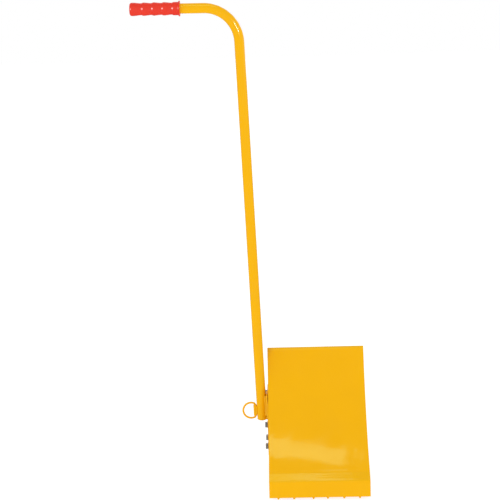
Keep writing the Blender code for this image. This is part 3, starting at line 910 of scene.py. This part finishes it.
def bolt_profile():
    top = HEAD_INNER_X - HEAD_H
    profile = [
        (top + 0.16, HEX_FLAT * 0.30), (top + 0.14, HEX_FLAT * 0.52),
        (top + 0.02, HEX_FLAT * 0.62), (top, HEX_FLAT - 1.25), (top + 0.03, HEX_FLAT - 0.95),
        (top + 0.22, hexagon(HEX_FLAT - 0.25)), (top + 0.62, hexagon(HEX_FLAT + 0.42)),
        (top + 0.98, hexagon(HEX_CORNER - 0.15)), (top + 1.25, hexagon(HEX_CORNER))]
    profile += [(top + 1.25 + (HEAD_H - 1.85) * i / 5, hexagon(HEX_CORNER))
                for i in range(1, 6)]
    start = TAIL_X - THREAD_LEN
    profile += [
        (HEAD_INNER_X - 0.38, hexagon(HEX_CORNER - 0.18)),
        (HEAD_INNER_X - 0.34, HEX_FLAT - 0.30), (HEAD_INNER_X, HEX_FLAT - 0.42),
        (HEAD_INNER_X, BOLT_R + 0.35), (HEAD_INNER_X + 0.35, BOLT_R), (start - 0.9, BOLT_R)]
    rows = int((TAIL_X - 0.8 - start) / (THREAD_PITCH / 8))
    for i in range(rows + 1):
        x = start + (TAIL_X - 0.8 - start) * i / rows
        profile.append((x, thread(x, grow=min(1.0, i / 10.0))))
    return profile + [
        (TAIL_X - 0.35, BOLT_R - THREAD_DEPTH * 0.9),
        (TAIL_X - 0.05, BOLT_R - THREAD_DEPTH - 0.35),
        (TAIL_X, BOLT_R - THREAD_DEPTH - 0.9), (TAIL_X - 0.03, BOLT_R * 0.4)]


def washer_profile(x):
    inner = x + WASHER_T
    return [(x, HOLE_R + 0.25), (x, WASHER_R - WASHER_ROLL - 0.2), (x + 0.08, WASHER_R - 0.16),
            (x + WASHER_ROLL, WASHER_R), (inner - 0.12, WASHER_R + 0.02),
            (inner, WASHER_R - 0.08), (inner, HOLE_R + 0.1), (inner - 0.15, HOLE_R),
            (x + 0.25, HOLE_R)]


def nut_profile():
    end = NUT_X + NUT_H
    return [(NUT_X, BOLT_R + 0.55), (NUT_X, HEX_FLAT - 0.25),
            (NUT_X + 0.3, hexagon(HEX_FLAT + 0.1)), (NUT_X + 0.75, hexagon(HEX_CORNER - 0.1)),
            (NUT_X + 1.0, hexagon(HEX_CORNER)), (end - 1.0, hexagon(HEX_CORNER)),
            (end - 0.7, hexagon(HEX_CORNER - 0.15)), (end - 0.3, hexagon(HEX_FLAT + 0.2)),
            (end - 0.02, HEX_FLAT - 0.5), (end, HEX_FLAT - 0.9), (end, BOLT_R + 1.0),
            (end - 0.7, BOLT_R + GAP), (NUT_X + 0.6, BOLT_R + GAP)]


def build_fasteners():
    for number, (y, z, turn) in enumerate(BOLTS, start=1):
        def fastener(stem, suffix, profile, material, sharp, turn, closed=True):
            name = "%s_%d" % (stem, number)
            loops = lathe(Vector((0.0, y + TOE_Y, z)), X_AXIS, (Y_AXIS, Z_AXIS), profile, 72,
                          turn=turn)
            piece(name + suffix, skin(loops, closed=closed), material, sharp=sharp,
                  stands_for=name)
        fastener("bracket_bolt", "_hex", bolt_profile(), ZINC, 28, turn, closed=False)
        for stem, x in (("washer_outer", BRACKET_X - GAP - WASHER_T),
                        ("washer_inner", INNER_WASHER_X)):
            fastener(stem, "_ring", washer_profile(x), ZINC_TURNED, 32, turn)
        fastener("bracket_nut", "_hex", nut_profile(), ZINC, 28, turn + NUT_TURN)


# ---------------------------------------------------------------- chain ring
SLEEVE_OFFSET = TUBE_R + GAP + SLEEVE_R
SLEEVE_CENTRE = Vector((riser_x(RING_Z) - SLEEVE_OFFSET / cos(radians(LEAN)), TUBE_Y, RING_Z))


def build_sleeve():
    """Short sleeve along the riser's left side, welded to it."""
    half = SLEEVE_LEN / 2
    profile = [(-half + 0.5, SLEEVE_BORE), (-half, SLEEVE_BORE + 0.28),
               (-half, SLEEVE_R - 0.35), (-half + 0.12, SLEEVE_R - 0.1), (-half + 0.4, SLEEVE_R)]
    profile += [(-half + 0.4 + (SLEEVE_LEN - 0.8) * i / 12, SLEEVE_R + 0.03 * sin(i * 2.1))
                for i in range(1, 12)]
    profile += [(half - 0.4, SLEEVE_R), (half - 0.12, SLEEVE_R - 0.1), (half, SLEEVE_R - 0.35),
                (half, SLEEVE_BORE + 0.28), (half - 0.5, SLEEVE_BORE)]
    loops = lathe(SLEEVE_CENTRE, RISER, RISER_PLANE, profile, 56)
    piece("ring_sleeve_tube", skin(loops, closed=True), PAINT_ROUND, sharp=35,
          stands_for="ring_sleeve")
    welds = []
    for side in (-1, 1):
        middle = SLEEVE_CENTRE + RISER_PLANE[0] * 3.95 + Y_AXIS * (side * 4.0)
        points = walk(middle - RISER * 12.0, middle + RISER * 12.0)
        welds.append(bead(points, radius=1.95, pitch=2.2, ripple=0.15, seed=side * 5.1))
    weld_piece("ring_sleeve_weld", welds)


def ring_path():
    """(x, z, angle of the outward normal) round the ring: straight bar, corner, bow, corner."""
    reach = RING_BOW_OFFSET - RING_CORNER_R
    half_bar = sqrt((RING_BOW_R - RING_CORNER_R) ** 2 - reach ** 2)
    corner_turn = atan2(half_bar, reach)

    def corner(angle, z):
        return (-RING_CORNER_R + RING_CORNER_R * cos(angle), z + RING_CORNER_R * sin(angle),
                angle)
    path = [(0.0, -half_bar + 2 * half_bar * i / 24, 0.0) for i in range(24)]
    path += [corner(corner_turn * i / 14, half_bar) for i in range(14)]
    for i in range(97):
        angle = corner_turn + (2 * pi - 2 * corner_turn) * i / 96
        path.append((-RING_BOW_OFFSET + RING_BOW_R * cos(angle), RING_BOW_R * sin(angle),
                     angle))
    path += [corner(-corner_turn * i / 14, -half_bar) for i in range(13, 0, -1)]
    return path


def build_ring():
    right = RISER_PLANE[0]
    loops = []
    for k, (x, z, turn) in enumerate(ring_path()):
        # off the straight bar the wire is flattened on the ring's inner side
        flat = 0.0 if x > -0.01 else 0.10

        def radius(angle):
            size = RING_WIRE_R + 0.035 * noise_at(k * 0.11, cos(angle), sin(angle))
            return size - flat * max(0.0, -cos(angle)) ** 4
        normal = right * cos(turn) + RISER * sin(turn)
        loops.append(loop_at(SLEEVE_CENTRE + right * x + RISER * z, (normal, Y_AXIS),
                             radius, 28))
    piece("chain_ring_forged", skin(loops, closed=True), PAINT_ROUND, sharp=50,
          stands_for="chain_ring", body="chain_ring_body")


# ---------------------------------------------------------------- welds
STITCH_LEN = 38.0               # side plate stitches, and the pitch between their starts
STITCH_PITCH = 66.0
# stitches on the rib: start and end, as runs past the strip's start
RIB_STITCHES = ((12, 52), (92, 132), (168, 208))
RIB_HEEL_STITCHES = ((14.0, 44.0), (66.0, 98.0))        # start and end heights


def face_weld(start, end, x, side, size, seed, **ripples):
    """A fillet along the face plate's back between two runs, reaching out to side."""
    points, backs = [], []
    run = start
    i = 0
    while run <= end:
        while i < len(PATH) - 2 and PATH[i + 1][3] < run:
            i += 1
        low, high = PATH[i], PATH[i + 1]
        share = (run - low[3]) / (high[3] - low[3])
        y, z, slope = (low[j] + (high[j] - low[j]) * share for j in range(3))
        points.append(Vector((x, y + PLATE_T * sin(slope) + TOE_Y, z - PLATE_T * cos(slope))))
        backs.append(Vector((0, sin(slope), -cos(slope))))
        run += 0.8
    return fillet(points, Vector((side, 0, 0)), backs, size, seed, **ripples)


def heel_weld(x, side, low, high, size, seed):
    """An upright fillet against the heel plate's front."""
    points = walk(Vector((x, HEEL_INNER_Y, low)), Vector((x, HEEL_INNER_Y, high)))
    return fillet(points, Vector((side, 0, 0)), [-Y_AXIS] * len(points), size, seed)


def build_side_welds():
    """Side plates to the face's back: sealed outside, stitched inside."""
    for side, name in ((-1, "left"), (1, "right")):
        welds = [face_weld(3.0, RUN_TOP - 4.0, side * SIDE_OUT, side, size=2.1,
                           seed=side * 3.0, pitch=2.2, ripple=0.20)]
        stitches = [(14.0, 31.0)]               # one on the flange, the rest above the bend
        start = RUN_STRIP + 6.0
        while start + STITCH_LEN <= RUN_TOP - 8.0:
            stitches.append((start, start + STITCH_LEN))
            start += STITCH_PITCH
        for k, (start, end) in enumerate(stitches):
            welds.append(face_weld(start, end, side * (SIDE_OUT - PLATE_T), -side, size=5.0,
                                   seed=k * 1.7 + side))
        weld_piece("side_plate_%s_weld" % name, welds)


def build_rib_welds():
    """Centre rib to the face's back and to the heel plate, on both sides."""
    welds = []
    for side in (-1, 1):
        for k, (start, end) in enumerate(RIB_STITCHES):
            welds.append(face_weld(RUN_STRIP + start + 6 * side, RUN_STRIP + end + 6 * side,
                                   side * RIB_HALF_T, side, size=4.6, seed=k + side * 9.0))
    for side in (-1, 1):
        for k, (low, high) in enumerate(RIB_HEEL_STITCHES):
            welds.append(heel_weld(side * RIB_HALF_T, side, low, high, size=4.6,
                                   seed=20.0 + k + side))
    weld_piece("centre_rib_weld", welds)


def build_heel_welds():
    weld_piece("heel_plate_weld", [
        heel_weld(side * (SIDE_OUT - PLATE_T), -side, 11.0, HEEL_H - 3.0, size=4.8,
                  seed=30.0 + side)
        for side in (-1, 1)])


def build_standoff_welds():
    """Standoff block: round its foot on the bracket, and beads along the tube."""
    front, rear = STANDOFF_Y
    bottom, top = STANDOFF_Z
    corners = ((front, bottom), (rear, bottom), (rear, top), (front, top))
    points, normals = [], []
    for k, normal in enumerate(((0, -1), (1, 0), (0, 1), (-1, 0))):
        y, z = corners[k]
        next_y, next_z = corners[(k + 1) % 4]
        steps = int((abs(next_y - y) + abs(next_z - z)) / 0.8)
        for i in range(steps):
            share = i / steps
            points.append(Vector((BRACKET_X, y + (next_y - y) * share + TOE_Y,
                                  z + (next_z - z) * share)))
            normals.append(normal)
    # average over seven neighbours, to turn the weld smoothly round the corners
    count = len(points)
    backs = []
    for i in range(count):
        near = [normals[(i + j) % count] for j in range(-3, 4)]
        backs.append(Vector((0, sum(y for y, _z in near), sum(z for _y, z in near)))
                     .normalized())
    welds = [fillet(points, -X_AXIS, backs, size=3.3, seed=41.0, closed=True)]
    for side in (-1, 1):
        ends = [Vector((riser_x(z) + 10.9, TUBE_Y + side * 9.0, z))
                for z in (bottom + 2.0, top - 2.0)]
        welds.append(bead(walk(*ends), radius=3.1, pitch=2.9, ripple=0.15, seed=50 + side))
    weld_piece("standoff_weld", welds)


# ---------------------------------------------------------------- plates kept from the CAD
def keep_plate(name):
    """A CAD solid whose shape is right: its sharp edges get a small roll, and paint."""
    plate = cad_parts[name]
    plate.data.materials.clear()
    plate.data.materials.append(PAINT)
    weld = plate.modifiers.new("weld_points", 'WELD')
    weld.merge_threshold = 0.00002
    bevel = plate.modifiers.new("rolled_edges", 'BEVEL')
    bevel.width = 0.7 * METRES_PER_MM
    bevel.segments = 3
    bevel.limit_method = 'ANGLE'
    bevel.angle_limit = radians(38)
    bevel.harden_normals = False
    shading = plate.modifiers.new("even_shading", 'WEIGHTED_NORMAL')
    shading.keep_sharp = False
    shading.weight = 80
    for polygon in plate.data.polygons:
        polygon.use_smooth = True


for plate_name in ("side_plate_left", "side_plate_right", "centre_rib", "heel_plate",
                   "bracket_plate", "standoff_block"):
    keep_plate(plate_name)

build_face()
build_tube()
build_foot_plug()
build_grip()
build_pins()
build_fasteners()
build_sleeve()
build_ring()
build_side_welds()
build_rib_welds()
build_heel_welds()
build_standoff_welds()


# ---------------------------------------------------------------- studio (metres)
def studio_face(name, corners, material_name):
    """One flat face with an empty material; returns the object and the nodes."""
    data = bpy.data.meshes.new(name)
    data.from_pydata(corners, [], [tuple(range(len(corners)))])
    thing = bpy.data.objects.new(name, data)
    material = bpy.data.materials.new(material_name)
    data.materials.append(material)
    bpy.context.scene.collection.objects.link(thing)
    return thing, material


def build_floor():
    """White paper that glows by itself, but looks dim in reflections."""
    half, z = 40.0, -0.0002
    floor, paper = studio_face(
        "studio_floor", [(-half, -half, z), (half, -half, z), (half, half, z), (-half, half, z)],
        "studio_floor_paper")
    nodes = Nodes(paper, space="Object")
    tone = nodes.remap(nodes.noise(scale=6.0), span=(0.0, 1.0), to=(0.35, 0.40),
                       curve='LINEAR')
    diffuse = nodes.node("BsdfDiffuse", {"Color": tone}).outputs[0]
    lit = nodes.node("AddShader", {0: diffuse, 1: nodes.emission(Strength=0.79)}).outputs[0]
    glossy_ray = nodes.node("LightPath").outputs["Is Glossy Ray"]
    nodes.finish(nodes.mix_shader(glossy_ray, lit, nodes.emission(Strength=0.10)))
    paper.cycles.emission_sampling = 'NONE'
    floor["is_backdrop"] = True


def soft_box(name, corners, strength, lights, tint=(1.0, 1.0, 1.0)):
    """A lit panel that shows only in the reflections of the objects it lights."""
    box, glow = studio_face(name, corners, name + "_glow")
    nodes = Nodes(glow)
    nodes.finish(nodes.emission(Color=tint, Strength=strength))
    box.visible_camera = False
    box.visible_shadow = False
    box.visible_transmission = False
    box.visible_diffuse = False
    group = bpy.data.collections.new(name + "_lights")
    for thing in lights:
        group.objects.link(thing)
    box.light_linking.receiver_collection = group
    box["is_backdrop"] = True


def aimed_panel(target, azimuth, elevation, width, height):
    """Corners of a panel 2.4 m from target and facing it; azimuth turns from the front
    to the right."""
    turn = radians(azimuth)
    lift = radians(elevation)
    toward = Vector((sin(turn) * cos(lift), -cos(turn) * cos(lift), sin(lift)))
    across = Vector((cos(turn), sin(turn), 0))
    centre = Vector(target) + toward * 2.4
    half_up = toward.cross(across).normalized() * height / 2
    half_across = across.normalized() * width / 2
    return [centre - half_across - half_up, centre + half_across - half_up,
            centre + half_across + half_up, centre - half_across + half_up]


def build_world():
    world = bpy.data.worlds.new("studio_world")
    bpy.context.scene.world = world
    nodes = Nodes(world, space="Generated")
    world.cycles.sampling_method = 'NONE'       # an even sky needs no light map
    direction = nodes.node("SeparateXYZ", {0: nodes.coords}).outputs
    # diffuse light fades a little toward the zenith
    diffuse = nodes.math('MULTIPLY_ADD', direction["Z"], -0.17, 1.105)
    # reflections see a dim room in front, a white backdrop behind and pale wings
    backdrop = nodes.remap(direction["Y"], span=(-0.05, 0.95), to=(0.075, 0.80))
    wings = nodes.remap(nodes.math('ABSOLUTE', direction["X"]), span=(0.88, 0.99),
                        to=(0.0, 0.45))
    glossy = nodes.math('MAXIMUM', backdrop, wings)
    ray = nodes.node("LightPath").outputs

    def background(strength):
        return nodes.node("Background", {"Color": (1.0, 1.0, 1.0),
                                         "Strength": strength}).outputs[0]
    sky = nodes.mix_shader(ray["Is Glossy Ray"], background(diffuse), background(glossy))
    sky = nodes.mix_shader(ray["Is Camera Ray"], sky, background(1.0))
    nodes.node("OutputWorld", {0: sky})


# long box overhead, whose reflection lies across the lower tyre face: x, y
OVERHEAD_Z = 2.60
OVERHEAD_OUTLINE = (
    (-0.65, -1.34), (-0.15, -0.905), (0.05, -0.70), (0.129, -0.645), (0.164, -0.65),
    (0.180, -0.61), (0.180, -0.47), (0.164, -0.40), (0.129, -0.280), (0.05, -0.335),
    (-0.15, -0.510), (-0.65, -0.90))

build_world()
build_floor()
painted = [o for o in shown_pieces() if o.data.materials[0].name.startswith("powder")]
vinyl = [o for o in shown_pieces() if o.data.materials[0].name.startswith("soft_vinyl")]
tube = [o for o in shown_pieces() if o.name.startswith("handle_tube")]
soft_box("overhead_strip", [(x, y, OVERHEAD_Z) for x, y in OVERHEAD_OUTLINE],
         strength=2.95, lights=painted, tint=(0.43, 1.0, 0.49))
soft_box("front_right_box",
         aimed_panel(target=(-0.20, -0.10, 1.17), azimuth=31.5, elevation=14.2,
                     width=0.13, height=0.42),
         strength=165.0, lights=tube)
soft_box("front_left_box",
         aimed_panel(target=(-0.39, -0.09, 1.22), azimuth=-46.0, elevation=5.0,
                     width=0.95, height=0.26),
         strength=66.0, lights=vinyl)

scene = bpy.context.scene
scene.view_settings.view_transform = 'Standard'
scene.view_settings.look = 'None'

# ---------------------------------------------------------------- camera
CAMERA_PLACE = (-0.0579926, -3.4023846, 1.1859814)
CAMERA_YAW = -0.0319761         # radians, from +y toward +x
CAMERA_PITCH = 0.1737791        # radians, downward
CAMERA_ROLL = -0.0299979        # radians


def build_camera():
    forward = Vector((sin(CAMERA_YAW) * cos(CAMERA_PITCH), cos(CAMERA_YAW) * cos(CAMERA_PITCH),
                      -sin(CAMERA_PITCH)))
    level = Vector((cos(CAMERA_YAW), -sin(CAMERA_YAW), 0.0))
    upright = level.cross(forward)
    matrix = Matrix.Identity(4)
    matrix.col[0][:3] = level * cos(CAMERA_ROLL) + upright * sin(CAMERA_ROLL)
    matrix.col[1][:3] = upright * cos(CAMERA_ROLL) - level * sin(CAMERA_ROLL)
    matrix.col[2][:3] = -forward
    matrix.col[3][:3] = CAMERA_PLACE
    data = bpy.data.cameras.new("photo_camera")
    data.sensor_width = 36.0
    data.lens = 93.433
    data.clip_end = 200.0
    camera = bpy.data.objects.new("photo_camera", data)
    camera.matrix_world = matrix
    scene.collection.objects.link(camera)
    scene.camera = camera


build_camera()

bpy.context.view_layer.update()
